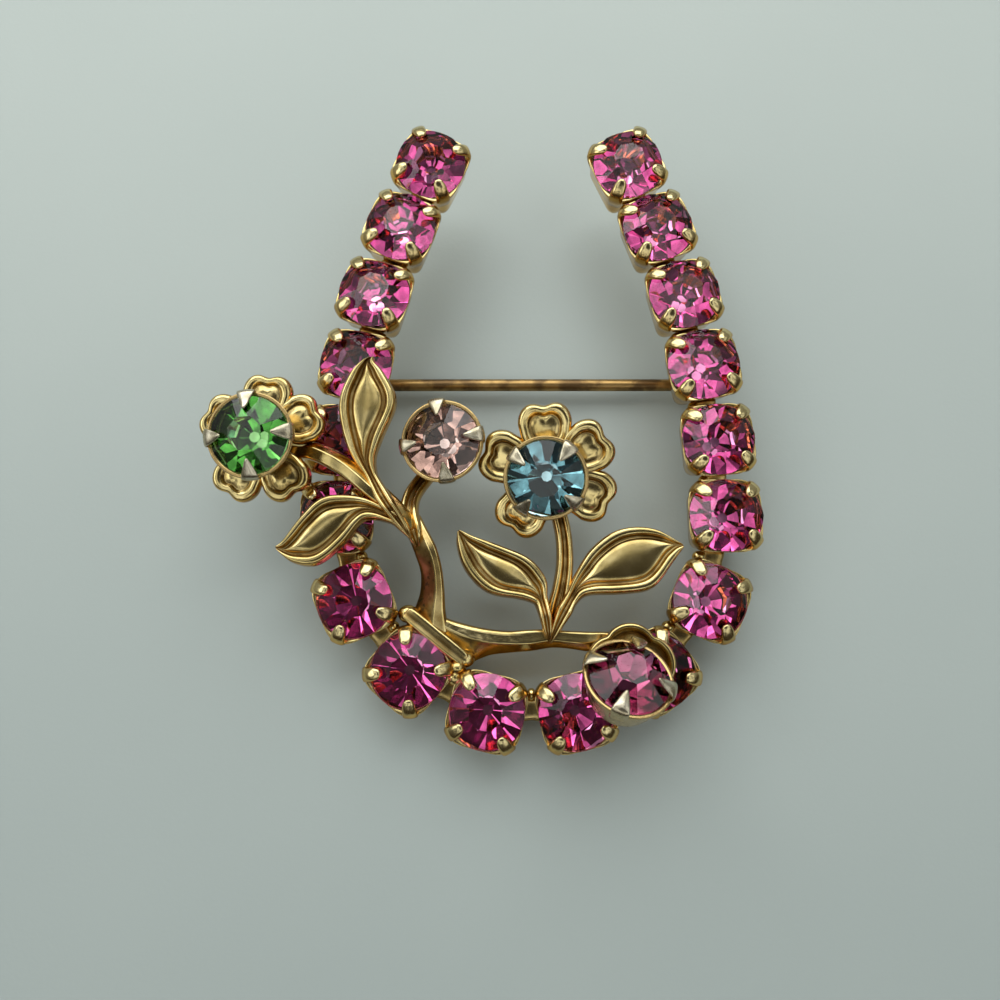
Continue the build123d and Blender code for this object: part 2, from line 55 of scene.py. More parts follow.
lay = Matrix.Translation(Vector(hinge["pos_m"]) - turn @ (hinge_at * mm)) @ turn

# The camera stands close above the brooch's lower half, tipped nine degrees against the brooch's own plane.
# Its lens is given as the distance of the picture's plane, in pixels of the picture.
picture_width = 1000
focal_pixels = 800
camera_tip = math.radians(9)
camera_aim = Vector((-2.2, 1.2, 2.8))
camera_away = 57.14
camera = bpy.data.objects.new("camera", bpy.data.cameras.new("camera"))
camera.data.lens = camera.data.sensor_width * focal_pixels / picture_width
camera.data.clip_start = mm
back_off = Vector((0, -math.sin(camera_tip), math.cos(camera_tip))) * camera_away
camera.matrix_world = turn @ Matrix.Rotation(camera_tip, 4, "X")
camera.location = lay @ ((camera_aim + back_off) * mm)
bpy.context.scene.collection.objects.link(camera)
bpy.context.scene.camera = camera
bpy.context.scene.view_settings.view_transform = "Standard"


class Value:
    """A number in a finish's nodes, with Python's own sums for its Math nodes"""

    def __init__(self, finish, socket):
        self.finish = finish
        self.socket = socket

    def maths(self, operation, *values):
        slots = dict(enumerate(values))
        return self.finish.node("Math", {"operation": operation}, slots)

    def __add__(self, other):
        return self.maths("ADD", self, other)

    def __mul__(self, other):
        return self.maths("MULTIPLY", self, other)

    __radd__ = __add__
    __rmul__ = __mul__

    def between(self, low, high):
        """0 up to low, 1 from high, smooth in between"""
        settings = {"interpolation_type": "SMOOTHSTEP"}
        return self.finish.node("MapRange", settings, {"Value": self, "From Min": low, "From Max": high})


class Nodes:
    """The nodes of a material or of the room, each made with its settings and what goes into its sockets"""

    def __init__(self, tree):
        self.tree = tree

    def plug(self, slot, value):
        if isinstance(value, Value):
            self.tree.links.new(value.socket, slot)
        else:
            slot.default_value = value

    def node(self, kind, settings, sockets, output=0):
        node = self.tree.nodes.new("ShaderNode" + kind)
        for name, value in settings.items():
            setattr(node, name, value)
        for name, value in sockets.items():
            self.plug(node.inputs[name], value)
        return Value(self, node.outputs[output])

    def mix(self, share, one, other):
        """Colour one where share is 0, the other where it is 1"""
        return self.node("Mix", {"data_type": "RGBA"}, {0: share, 6: one, 7: other}, 2)

    def along(self, where, *direction):
        """How far a point lies along a direction"""
        return self.node("VectorMath", {"operation": "DOT_PRODUCT"}, {0: where, 1: direction}, "Value")


class Finish(Nodes):
    """A material whose one shader takes plain numbers, or what the nodes before it work out"""

    def __init__(self, name, **sockets):
        self.material = bpy.data.materials.new(name)
        self.material.use_nodes = True
        super().__init__(self.material.node_tree)
        self.shader = self.tree.nodes["Principled BSDF"]
        self.set(**sockets)

    def set(self, **sockets):
        for name, value in sockets.items():
            self.plug(self.shader.inputs[name.replace("_", " ")], value)

    def cloud(self, size_mm, detail=2.0):
        """Soft random patches of about one size, 0 to 1"""
        where = self.node("TexCoord", {}, {}, "Object")
        return self.node("TexNoise", {}, {"Vector": where, "Scale": 1 / (size_mm * mm), "Detail": detail})

    def relief(self, height, depth_mm):
        """Bumps of a depth in millimetres"""
        self.set(Normal=self.node("Bump", {}, {"Height": height, "Distance": depth_mm * mm}))


# The table is smooth matt card, pale grey-green in soft patches, with painted light that makes it a little
# paler towards its far end. The brooch only lies on it, so it is part of the stage.
card = Finish("card", Roughness=0.75)
# Painted light: the card is coloured paler towards its far end, as if lit more there.
card_painted_far_light = card.along(card.node("TexCoord", {}, {}, "Object"), 0, 1, 0).between(-0.08, 0.08)
card_patches = card.cloud(40, 3.0)
card_patches_and_far_light = 0.3 * card_patches + 0.7 * card_painted_far_light
card.set(Base_Color=card.mix(card_patches_and_far_light, (0.325, 0.386, 0.375, 1), (0.515, 0.582, 0.546, 1)))
card.relief(card.cloud(0.35, 3.0), 0.01)
table = bpy.data.meshes.new("table")
table_half = 0.9
table_corners = [(-table_half, -table_half, 0), (table_half, -table_half, 0),
                 (table_half, table_half, 0), (-table_half, table_half, 0)]
table.from_pydata(table_corners, [], [(0, 1, 2, 3)])
table.materials.append(card.material)
table = bpy.data.objects.new("table", table)
bpy.context.scene.collection.objects.link(table)


def softbox(name, at, size, power):
    """An oblong lamp in the studio that shines on the brooch, its place and size in metres"""
    lamp = bpy.data.lights.new(name, "AREA")
    lamp.shape = "RECTANGLE"
    lamp.size, lamp.size_y = size
    lamp.energy = power
    box = bpy.data.objects.new(name, lamp)
    box.location = at
    box.rotation_euler = (-Vector(at)).to_track_quat("-Z", "Y").to_euler()
    bpy.context.scene.collection.objects.link(box)


# A broad lamp hangs over the open end and a small one to the left. The room is a pale, patchy ceiling over
# brown-grey walls, darker on the near side and just above the brooch.
softbox("window_lamp", (-0.03, 0.21, 0.21), (0.42, 0.24), 0.72)
softbox("left_lamp", (-0.30, -0.02, 0.22), (0.20, 0.14), 0.12)
room = bpy.data.worlds.new("room")
bpy.context.scene.world = room
room.use_nodes = True
air = Nodes(room.node_tree)
towards = air.node("TexCoord", {}, {}, "Generated")
height = air.along(towards, 0, 0, 1)
patches = air.node("TexNoise", {}, {"Vector": towards, "Scale": 4.5, "Detail": 1.0})
far_side = air.along(towards, -0.3, 1, 0).between(-0.6, 0.5)
walls = air.mix(far_side, (0.05, 0.04, 0.03, 1), (0.30, 0.30, 0.28, 1))
ceiling = air.mix(patches.between(0.44, 0.56), (0.10, 0.10, 0.105, 1), (1.25, 1.25, 1.22, 1))
around = air.mix(height.between(0.35, 0.6), walls, ceiling)
overhead = air.along(towards, 0.02, -0.20, 0.98).between(0.92, 0.97)
light = air.mix(overhead, around, (0.05, 0.045, 0.04, 1))
air.plug(room.node_tree.nodes["Background"].inputs["Color"], light)

# Gold-coloured metal of the row and the spray: plated, paler and dented where it is worn or was bent with a
# tool. Its sides are painted a deeper amber as painted shade, and its hollows are painted brown, partly as
# dirt where the plating is thin and partly as painted shade.
gold = Finish("gold", Metallic=1.0)
gold_up = gold.along(gold.node("NewGeometry", {}, {}, "Normal"), 0, 0, 1)
gold_hollow = gold.node("Attribute", {"attribute_name": "hollow"}, {}, "Fac")
gold_pale = gold.node("Attribute", {"attribute_name": "pale"}, {}, "Fac")
gold_patches = gold.cloud(1.6, 3.0)
gold_specks = gold.cloud(0.3, 3.0)
gold_top = gold.mix(gold_patches.between(0.35, 0.65), (0.72, 0.59, 0.27, 1), (0.52, 0.41, 0.16, 1))
gold_top = gold.mix(0.7 * gold_pale, gold_top, (0.60, 0.52, 0.28, 1))
# Painted shade: faces turned away from straight up are painted a deeper amber than the tops.
gold_painted_side_shade = gold.mix(gold_patches.between(0.4, 0.6), (0.70, 0.42, 0.10, 1), (0.50, 0.28, 0.07, 1))
gold_with_painted_sides = gold.mix(gold_up.between(0.4, 0.95), gold_painted_side_shade, gold_top)
# Where the hollow value is high the gold is painted brown: partly dirt, partly painted shade.
gold_dirt_and_shade_share = gold_hollow * (0.6 + 0.4 * gold_patches.between(0.35, 0.6))
gold_stained_and_shaded = gold.mix(gold_dirt_and_shade_share, gold_with_painted_sides, (0.18, 0.105, 0.03, 1))
gold_dirt = gold_hollow.between(0.93, 1.0) * gold_specks.between(0.52, 0.66)
gold_dirt = gold_dirt * gold_patches.between(0.42, 0.6)
gold.set(Base_Color=gold.mix(gold_dirt, gold_stained_and_shaded, (0.07, 0.05, 0.02, 1)))
gold.set(Roughness=0.13 + 0.08 * gold_patches + 0.12 * gold_hollow + 0.25 * gold_dirt)
gold.relief(gold.cloud(0.9, 2.0) * (0.3 + 1.5 * gold_pale), 0.03)


def sweep(rings):
    """Points and faces of a skin over rings of as many points each, its two ends closed"""
    count = len(rings[0])
    faces = []
    for k in range(len(rings) - 1):
        this, following = k * count, (k + 1) * count
        for j in range(count):
            after = (j + 1) % count
            faces.append((this + j, this + after, following + after, following + j))
    faces.append(tuple(reversed(range(count))))
    faces.append(tuple((len(rings) - 1) * count + j for j in range(count)))
    return [point for ring in rings for point in ring], faces


def placed(skin, place):
    """A skin moved or turned, its marks kept"""
    points, faces = skin
    return [(*(place @ Vector(point[:3])), *point[3:]) for point in points], faces


def piece(name, skins, finish, place=Matrix(), smooth=True, rounds=1):
    """One mesh of the brooch from skins in millimetres. After its place, a point may say how deep in a
    hollow it lies and how pale it is, each 0 to 1."""
    shape = bmesh.new()
    marks = [shape.verts.layers.float.new(mark) for mark in ("hollow", "pale")]
    for points, faces in skins:
        verts = []
        for point in points:
            vert = shape.verts.new(lay @ (place @ Vector(point[:3]) * mm))
            for mark, value in zip(marks, point[3:]):
                vert[mark] = value
            verts.append(vert)
        for corners in faces:
            shape.faces.new([verts[j] for j in corners]).smooth = smooth
    bmesh.ops.recalc_face_normals(shape, faces=shape.faces)
    mesh = bpy.data.meshes.new(name)
    shape.to_mesh(mesh)
    shape.free()
    made = bpy.data.objects.new(name, mesh)
    bpy.context.scene.collection.objects.link(made)
    mesh.materials.append(finish.material)
    if rounds:
        made.modifiers.new("rounding", "SUBSURF").levels = rounds
        made.modifiers["rounding"].render_levels = rounds
    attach(made, "brooch")
    return made


# The row: square box settings of thin sheet with a closed floor and a claw at each corner, bent over the
# stone. Nine stand in each limb, and no two are pressed or tilted quite alike.
stone_dia = 5.25
stones_a_side = 9
limb_bow_r = 62.0
cup_side = 5.05
cup_base_side = 4.2
cup_wall = 0.3
cup_floor = 0.4
cup_corner_r = 0.6
cup_lip = 5.30
cup_lip_z = 2.84
cup_scallop = 0.06
cup_seat_w = 0.12
limb_gap = 0.57
arc_gap = 1.15
limb_pitch = cup_side + limb_gap
arc_pitch = cup_side + arc_gap
girdle_z = 2.87
cup_tilt = 1.6
cup_twist = 2.5
chance = random.Random(7)


def row_frames():
    """Name and place of each cup, from the top left round the bottom to the top right"""
    quarter = shoe_r * math.pi / 2
    places = []
    run = arc_pitch / 2
    for count in range(stones_a_side):
        if run <= quarter:
            angle = run / shoe_r
            x, y, out = shoe_r * math.sin(angle), -shoe_r * math.cos(angle), angle - math.pi / 2
        else:
            angle = (run - quarter) / limb_bow_r
            x, y, out = shoe_r - limb_bow_r * (1 - math.cos(angle)), limb_bow_r * math.sin(angle), angle
        places.append((x, y, out))
        run += arc_pitch if run + arc_pitch / 2 < quarter else limb_pitch
    frames = []
    for count in reversed(range(stones_a_side)):
        x, y, out = places[count]
        frames.append((f"l{stones_a_side - count}", Vector((-x, y, 0)), math.pi - out))
    for count in range(stones_a_side):
        x, y, out = places[count]
        frames.append((f"r{stones_a_side - count}", Vector((x, y, 0)), out))
    return frames


def rounded_square(half, corner, z, dip=0.0, hollow=0.0, round_share=0.0):
    """A level ring of a box setting, its sides dipping between the corners, or drawn in towards a circle"""
    ring = []
    straight = half - corner
    for side in range(4):
        facing = Matrix.Rotation(side * math.pi / 2, 3, "Z")
        flat = [(half, (-1 + step / 3) * straight) for step in range(7)]
        for bend in (math.pi / 6, math.pi / 3):
            flat.append((straight + corner * math.cos(bend), straight + corner * math.sin(bend)))
        for x, y in flat:
            low = dip * max(1 - (y / straight) ** 2, 0) ** 1.5 if x == half else 0
            point = Vector((x, y, z - low))
            circle = Vector((x, y, 0)).normalized() * half + Vector((0, 0, z - low))
            ring.append((*(facing @ point.lerp(circle, round_share)), hollow))
    return ring


def box_cup():
    """Sheet-metal cup from the middle of its back over its lip and the stone's seat to its floor"""
    top = cup_lip / 2
    base = cup_base_side / 2
    corner = cup_corner_r
    lip_corner = 2.3 * cup_corner_r
    seat = stone_dia / 2 - cup_seat_w
    inner_floor = base + (top - base) * cup_floor / cup_lip_z - cup_wall
    return sweep([
        rounded_square(0.5 * base, 0.5 * corner, 0),
        rounded_square(base - 0.12, corner, 0),
        rounded_square(base, corner, 0.08),
        rounded_square(base + 0.3 * (top - base), 1.4 * corner, cup_lip_z / 2),
        rounded_square(top - 0.02, lip_corner, cup_lip_z - 0.12, cup_scallop),
        rounded_square(top, lip_corner, cup_lip_z - 0.04, cup_scallop),
        rounded_square(top - 0.05, lip_corner, cup_lip_z, cup_scallop),
        rounded_square(seat + 0.10, 2 * corner, cup_lip_z - 0.03, 0, 0.3, 0.55),
        rounded_square(seat + 0.06, corner, cup_lip_z - 0.12, 0, 0.8, 1.0),
        rounded_square(seat, corner, cup_lip_z - 0.30, 0, 1.0, 1.0),
        rounded_square(inner_floor, corner, cup_floor + 0.1, 0, 1.0, 0.6),
        rounded_square(0.5 * inner_floor, 0.5 * corner, cup_floor, 0, 1.0, 0.6),
    ])


# A claw's middle line from the cup's corner over the stone: out from the cup's middle, up, width, thickness
claw_line = [
    (2.48, 0.80, 0.70, 0.20), (2.64, 1.50, 1.00, 0.30), (2.84, 2.20, 1.14, 0.34), (2.99, 2.72, 1.14, 0.38),
    (2.96, 3.06, 1.10, 0.40), (2.74, 3.31, 1.06, 0.42), (2.44, 3.50, 1.02, 0.42), (2.14, 3.66, 0.90, 0.38),
    (1.92, 3.77, 0.64, 0.30), (1.80, 3.82, 0.32, 0.16),
]
claw_sides = 12
claw_boxy = 0.8
claw_flat = 0.55
claw_pale_from = 2.4
claw_browned_to = 3.2
claw_fade = 0.8
claw_sway = 0.12


def clamp(share):
    """A share held between 0 and 1"""
    return min(max(share, 0), 1)


def boxy(wave, power):
    """A sine or cosine drawn out towards 1, so that a round section turns squarer"""
    return math.copysign(abs(wave) ** power, wave)


def ahead_at(line, k):
    """Direction of a line of points at one of them"""
    return (line[min(k + 1, len(line) - 1)] - line[max(k - 1, 0)]).normalized()


def claw(line, sideways):
    """A bent claw, flat on the stone's side and broad-backed outside, browned low with dirt and painted
    shade, pale on its end
    """
    middles = [Vector((out, 0, up)) for out, up, width, thick in line]
    rings = []
    for k, (out, up, width, thick) in enumerate(line):
        outer = Vector((0, 1, 0)).cross(ahead_at(middles, k))
        sway = sideways * k / len(line)
        # The claw's foot is painted brown through the hollow value: dirt and painted shade.
        dirt_and_shade = 0.7 * clamp((claw_browned_to - up) / claw_fade)
        pale = clamp((up - claw_pale_from) / claw_fade)
        ring = []
        for side in range(claw_sides):
            angle = 2 * math.pi * side / claw_sides
            high = math.sin(angle)
            high = boxy(high, claw_boxy) if high > 0 else claw_flat * high
            across = boxy(math.cos(angle), claw_boxy)
            point = middles[k] + outer * (high * thick * 0.6) + Vector((0, sway + across * width / 2, 0))
            ring.append((*point, dirt_and_shade, pale))
        rings.append(ring)
    return sweep(rings)


def slight_tilt(degrees):
    """A small random turn about X, then about Y"""
    leaning = Matrix.Rotation(math.radians(chance.uniform(-degrees, degrees)), 4, "X")
    return leaning @ Matrix.Rotation(math.radians(chance.uniform(-degrees, degrees)), 4, "Y")


row_places = {}
for name, at, out in row_frames():
    leaning = slight_tilt(cup_tilt)
    twist = out + math.radians(chance.uniform(-cup_twist, cup_twist))
    row_places[name] = Matrix.Translation(at) @ Matrix.Rotation(twist, 4, "Z") @ leaning
    skins = [box_cup()]
    for corner in range(4):
        line = [(reach * chance.uniform(0.995, 1.012), up + chance.uniform(-0.02, 0.03), width, thick)
                for reach, up, width, thick in claw_line]
        bent = claw(line, chance.uniform(-claw_sway, claw_sway))
        skins.append(placed(bent, Matrix.Rotation(math.radians(45 + 90 * corner), 4, "Z")))
    setting = piece("box_setting_" + name, skins, gold, row_places[name])
    if name == "l1":
        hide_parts("horseshoe_frame")

# Solder joins neighbouring settings into one row. It fills the gap between them low down, browned there as
# painted shade, and stands as a small bright bead at the gap's inner end.
bridge_w = 1.9
bridge_low = 0.3
bridge_high = 1.7
bridge_middle = (bridge_high + bridge_low) / 2
bridge_half_h = (bridge_high - bridge_low) / 2
bridge_boxy = 0.5
bridge_sides = 16
# Painted shade: how brown the solder low between the settings is painted.
bridge_painted_shade = 0.6
bead_r = 0.42
spots = [at for name, at, out in row_frames()]
solder = []


def bead(middle, radii, rings=8, sides=10):
    """A rounded lump of solder"""
    skin = []
    for k in range(rings + 1):
        down = math.pi * (0.04 + 0.92 * k / rings)
        ring = []
        for side in range(sides):
            angle = 2 * math.pi * side / sides
            ring.append((middle.x + radii[0] * math.sin(down) * math.cos(angle),
                         middle.y + radii[1] * math.sin(down) * math.sin(angle),
                         middle.z - radii[2] * math.cos(down)))
        skin.append(ring)
    return sweep(skin)


for a, b in zip(spots, spots[1:]):
    chord = (b - a).normalized()
    inward = Vector((-chord.y, chord.x, 0))
    half = ((b - a).length - cup_base_side) / 2
    rings = []
    for share, fullness in ((-1.0, 1.0), (-0.4, 0.9), (0.0, 0.84), (0.4, 0.9), (1.0, 1.0)):
        middle = (a + b) / 2 + chord * (share * half)
        ring = []
        for side in range(bridge_sides):
            angle = 2 * math.pi * (side + 0.5) / bridge_sides
            wide = boxy(math.cos(angle), bridge_boxy) * bridge_w / 2 * fullness
            high = bridge_middle + boxy(math.sin(angle), bridge_boxy) * bridge_half_h * fullness
            ring.append((*(middle + inward * wide + Vector((0, 0, high))), bridge_painted_shade))
        rings.append(ring)
    solder.append(sweep(rings))
    lump = (a + b) / 2 + inward * (bridge_w / 2 + 0.2 * bead_r) + Vector((0, 0, bridge_high))
    radii = (bead_r * chance.uniform(0.9, 1.3), bead_r * chance.uniform(0.9, 1.3), bead_r)
    solder.append(bead(lump, radii))
piece("row_solder", solder, gold)

# Round stones of pink glass, machine cut: a table, eight large facets round it, a scalloped girdle, and
# eight facets behind, turned half a facet against those in front. The back is foiled like a mirror, so what
# is seen is the foil through the glass.
table_dia = 2.2
crown_h = 1.0
girdle_t = 0.14
pavilion_h = 2.0
culet_dia = 0.7
facets = 8
girdle_steps = 4
stone_tilt = 3


def cut_glass():
    """Points and faces of the crown and of the back, whose facets lie between the crown's"""
    r = stone_dia / 2
    part = math.pi / facets
    crown_fall = crown_h / (r - table_dia / 2)
    back_rise = pavilion_h / (r - culet_dia / 2)
    round_about = facets * girdle_steps
    # The table's corners, the girdle's upper and lower edge, the culet's corners
    rings = [[], [], [], []]
    for k in range(facets):
        angle = 2 * part * k - part
        for ring, radius, facing, z in ((0, table_dia / 2, angle, girdle_t / 2 + crown_h),
                                        (3, culet_dia / 2, angle + part, -girdle_t / 2 - pavilion_h)):
            radius = radius / math.cos(part)
            rings[ring].append((radius * math.cos(facing), radius * math.sin(facing), z))
        for step in range(girdle_steps):
            off = -part + 2 * part * step / girdle_steps
            off_back = off + part if off < 0 else off - part
            x, y = r * math.cos(2 * part * k + off), r * math.sin(2 * part * k + off)
            rings[1].append((x, y, girdle_t / 2 + r * (1 - math.cos(off)) * crown_fall))
            rings[2].append((x, y, -girdle_t / 2 - r * (1 - math.cos(off_back)) * back_rise))
    upper = facets
    lower = upper + round_about
    culet = lower + round_about
    crown = [tuple(range(facets))]
    back = [tuple(culet + k for k in reversed(range(facets)))]
    for k in range(facets):
        arc = [(k * girdle_steps + step) % round_about for step in range(girdle_steps + 1)]
        crown.append((k, *(upper + step for step in arc), (k + 1) % facets))
        arc = [(step + girdle_steps // 2) % round_about for step in arc]
        back.append((culet + (k + 1) % facets, *(lower + step for step in reversed(arc)), culet + k))
    for k in range(round_about):
        after = (k + 1) % round_about
        crown.append((upper + k, lower + k, lower + after, upper + after))
    return [point for ring in rings for point in ring], crown, back


def glass_and_foil(name, glass_colour, foil_colour):
    """Clear tinted glass, and the coloured mirror behind it"""
    glass = Finish(name + "_glass", Roughness=0.0, IOR=1.5, Transmission_Weight=1.0, Base_Color=glass_colour)
    foil = Finish(name + "_foil", Metallic=1.0, Roughness=0.02)
    shade = foil.cloud(1.1, 1.0)
    darker = tuple(0.7 * c for c in foil_colour[:3]) + (1,)
    foil.set(Base_Color=foil.mix(shade.between(0.35, 0.65), foil_colour, darker))
    return glass, foil


def set_stone(name, node, finishes, slot, place):
    """A cut stone in its setting, in place of the plain solid"""
    points, crown, back = cut_glass()
    glass, foil = finishes
    stone = piece(name, [(points, crown + back)], glass, place, smooth=False, rounds=0)
    stone.data.materials.append(foil.material)
    for face in stone.data.polygons:
        face.material_index = int(face.index >= len(crown))
    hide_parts(node)


pink = glass_and_foil("pink", (1.0, 0.94, 0.97, 1), (0.96, 0.37, 0.67, 1))
for name, place in row_places.items():
    spin = Matrix.Rotation(chance.uniform(0, math.pi / 4), 4, "Z")
    seat = place @ Matrix.Translation((0, 0, girdle_z)) @ slight_tilt(stone_tilt) @ spin
    set_stone("pink_row_stone_" + name, "row_stone_" + name, pink, "pink_glass", seat)

# The spray is cast in one piece. Its stems and leaves are one ribbon of metal each: two rolled rims that run
# from the root up the stem, part round the leaf's sunk field and meet again in its point.
spray_z = 2.45
over_z = 4.395
levels = {"spray": spray_z, "row": over_z}
leaf_t = 0.7
rim_h = 0.3
# Across a leaf from its foot to its middle: inwards, height, depth of the hollow. The last but one is where
# the raised inner leaf begins, the last is its middle.
leaf_top = [
    (0.00, -0.80, 0.0), (0.05, -0.40, 0.0), (0.10, -0.15, 0.0), (0.18, -0.03, 0.0), (0.30, 0.01, 0.0),
    (0.52, 0.01, 0.0), (0.64, -0.04, 0.0), (0.70, -0.15, 0.4), (0.76, -0.32, 1.0), (0.86, -0.38, 1.0),
    (0.98, -0.35, 0.8), (1.08, -0.24, 0.5), (1.20, -0.18, 0.2), (1.60, -0.08, 0.2),
]
# Across a bare stem, in shares of half its width
stem_top = [
    (0.00, -0.66, 0.0), (0.08, -0.36, 0.0), (0.16, -0.14, 0.0), (0.28, -0.02, 0.0), (0.42, 0.00, 0.0),
    (0.56, -0.01, 0.0), (0.68, -0.06, 0.1), (0.77, -0.15, 0.6), (0.84, -0.24, 1.0), (0.89, -0.28, 1.0),
    (0.93, -0.29, 1.0), (0.96, -0.29, 1.0), (0.98, -0.29, 1.0), (1.00, -0.29, 1.0),
]
stem_half = 0.50
leaf_half = 1.25
leaf_drawn_half = 1.35
stem_t = 0.95
stem_rim_h = 0.45
leaf_tip_half = 0.012


def curve_through(rows, steps):
    """A smooth run of rows of numbers through the given ones"""
    out = []
    last = len(rows) - 1
    for k in range(last):
        a, b, c, d = rows[max(k - 1, 0)], rows[k], rows[k + 1], rows[min(k + 2, last)]
        for step in range(steps):
            t = step / steps
            out.append(tuple(
                q + 0.5 * t * (r - p + t * (2 * p - 5 * q + 4 * r - s + t * (3 * q - p - 3 * r + s)))
                for p, q, r, s in zip(a, b, c, d)))
    out.append(tuple(rows[last]))
    return out


def ribbon(sections):
    """Skin over sections of (left foot, right foot, thickness), the feet given at the height of the rims"""
    rings = []
    for left, right, thick in sections:
        across = right - left
        half = max(across.length / 2, 0.02)
        across = across / (2 * half)
        up = Vector((0, 0, 1))
        up = (up - across * up.dot(across)).normalized()
        wide = clamp((half - stem_half) / (leaf_half - stem_half))
        wide = wide * wide * (3 - 2 * wide)
        narrow = min(half / stem_half, 1)
        side = []
        for (leaf_in, leaf_up, leaf_hollow), (stem_in, stem_up, stem_hollow) in zip(leaf_top, stem_top):
            leaf_in = half if leaf_in == leaf_top[-1][0] else leaf_in * min(half / leaf_drawn_half, 1)
            inwards = leaf_in * wide + stem_in * half * (1 - wide)
            high = leaf_up * wide + stem_up * narrow * (1 - wide)
            side.append((inwards, high, leaf_hollow * wide + stem_hollow * (1 - wide)))
        under = up * thick
        ring = [(*(left + across * inwards - under), 0) for inwards in (0.3 * half, 0.02)]
        ring += [(*(left + across * inwards + up * high), hollow) for inwards, high, hollow in side]
        side = reversed(side[:-1])
        ring += [(*(right - across * inwards + up * high), hollow) for inwards, high, hollow in side]
        ring += [(*(right - across * inwards - under), 0) for inwards in (0.02, 0.3 * half)]
        rings.append(ring)
    return sweep(rings)


def stem_sections(rows, steps=5):
    """Sections of a bare stem: shares across and up of the horseshoe's radius, level, rise, width"""
    path = curve_through([(across * shoe_r, up * shoe_r, rise * levels[level], wide * shoe_r)
                          for across, up, level, rise, wide in rows], steps)
    middles = [Vector((x, y, 0)) for x, y, z, wide in path]
    sections = []
    for k, (x, y, z, wide) in enumerate(path):
        side = ahead_at(middles, k).cross(Vector((0, 0, 1))) * wide / 2
        middle = Vector((x, y, z + stem_rim_h))
        sections.append((middle - side, middle + side, stem_t))
    return sections


def leaf_sections(row, steps=4):
    """Sections of a leaf from behind its neck to its point"""
    length = row["length"] * shoe_r
    rows = []
    for (left_at, left), (right_at, right) in zip(row["left"], row["right"]):
        rows.append((left_at * length, left * length, right_at * length, right * length))
    rows.append((length, leaf_tip_half * length, length, -leaf_tip_half * length))
    z = row["rise"] * levels[row["level"]]
    place = Matrix.Translation((row["across"] * shoe_r, row["up"] * shoe_r, z))
    place = place @ Matrix.Rotation(math.radians(row["points"]), 4, "Z")
    place = place @ Matrix.Rotation(math.radians(row["roll"]), 4, "X")
    place = place @ Matrix.Rotation(math.radians(row["pitch"]), 4, "Y")
    top = leaf_t + rim_h
    sections = []
    for left_at, left, right_at, right in curve_through(rows, steps):
        sections.append((place @ Vector((left_at, left, top)), place @ Vector((right_at, right, top)), top))
    return sections


# Each leaf with the stem it grows from. Stem rows: across, up, level, rise, width. Leaf edges, as shares of
# its length from the neck: along, outwards.
leaves = {
    "upper_leaf": {
        "stem": [(-0.618, -0.105, "row", 1.04, 0.010), (-0.650, -0.055, "row", 1.14, 0.050),
                 (-0.705, 0.020, "row", 1.20, 0.074), (-0.755, 0.095, "row", 1.17, 0.084)],
        "across": -0.772, "up": 0.117, "level": "row", "rise": 1.0, "points": 93.2,
        "length": 0.681, "roll": 0.0, "pitch": 0.0,
        "left": [(0.10, 0.085), (0.22, 0.170), (0.42, 0.245), (0.68, 0.268), (0.88, 0.185), (0.97, 0.100)],
        "right": [(0.10, -0.010), (0.24, 0.000), (0.42, -0.070), (0.66, -0.170), (0.87, -0.090),
                  (0.965, -0.020)]},
    "lower_leaf": {
        "stem": [(-0.600, -0.130, "row", 0.98, 0.010), (-0.628, -0.085, "row", 1.08, 0.050),
                 (-0.672, -0.028, "row", 1.15, 0.078)],
        "across": -0.709, "up": 0.003, "level": "row", "rise": 1.0, "points": 198.2,
        "length": 0.581, "roll": 0.0, "pitch": 0.0,
        "left": [(0.10, 0.050), (0.24, 0.010), (0.45, 0.150), (0.71, 0.250), (0.91, 0.165)],
        "right": [(0.08, -0.120), (0.22, -0.225), (0.49, -0.310), (0.71, -0.215), (0.90, -0.075)]},
    "left_leaf": {
        "stem": [(0.096, -0.645, "spray", 1.08, 0.008), (0.084, -0.600, "spray", 1.24, 0.040),
                 (0.076, -0.545, "spray", 1.36, 0.062), (0.068, -0.500, "spray", 1.44, 0.072)],
        "across": 0.062, "up": -0.470, "level": "spray", "rise": 1.08, "points": 138.4,
        "length": 0.585, "roll": 5.0, "pitch": 0.0,
        "left": [(0.08, 0.030), (0.205, 0.085), (0.45, 0.232), (0.72, 0.220), (0.92, 0.110)],
        "right": [(0.04, -0.090), (0.15, -0.205), (0.37, -0.246), (0.62, -0.165), (0.85, -0.070)]},
    "right_leaf": {
        "stem": [(0.092, -0.645, "spray", 1.08, 0.008), (0.112, -0.592, "spray", 1.22, 0.045),
                 (0.142, -0.525, "spray", 1.36, 0.074), (0.170, -0.470, "spray", 1.44, 0.090)],
        "across": 0.180, "up": -0.444, "level": "spray", "rise": 1.08, "points": 25.5,
        "length": 0.655, "roll": -4.0, "pitch": -3.0,
        "left": [(0.04, 0.075), (0.17, 0.185), (0.37, 0.305), (0.62, 0.340), (0.86, 0.230)],
        "right": [(0.05, -0.055), (0.17, -0.020), (0.40, -0.120), (0.64, -0.190), (0.86, -0.090)]},
}
for name, row in leaves.items():
    sections = stem_sections(row["stem"])[:-1] + leaf_sections(row)
    piece(name, [ribbon(sections)], gold)

